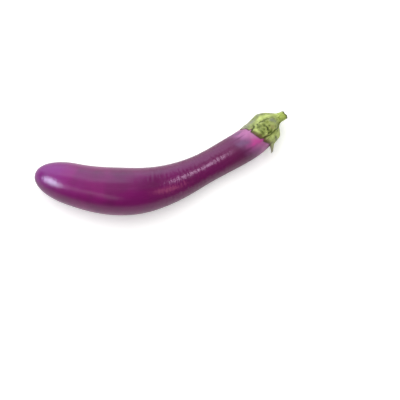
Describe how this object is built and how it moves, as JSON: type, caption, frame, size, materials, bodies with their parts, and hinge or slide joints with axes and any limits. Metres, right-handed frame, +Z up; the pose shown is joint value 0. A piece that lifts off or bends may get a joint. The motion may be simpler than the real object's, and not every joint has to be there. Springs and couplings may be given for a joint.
{
  "type": "eggplant",
  "caption": "Long slender purple eggplant, gently bent, lying on its side with a green lobed calyx and a cut stub of stem.",
  "frame": {"origin": "centre of the bounding box on the surface that the eggplant lies on", "axes": "+X along the straight line from blossom tip to cut stem, +Y towards the inside of the bend, +Z up"},
  "size_m": [0.2478, 0.0688, 0.0448],
  "materials": {
    "skin": "waxy purple vegetable skin, glossy",
    "calyx_green": "leafy green with brown flecks, satin",
    "stalk_green": "fleshy green stalk, matte"
  },
  "bodies": {
    "root": {"fruit": "skin", "calyx": "calyx_green", "stem": "stalk_green"}
  },
  "joints": []
}
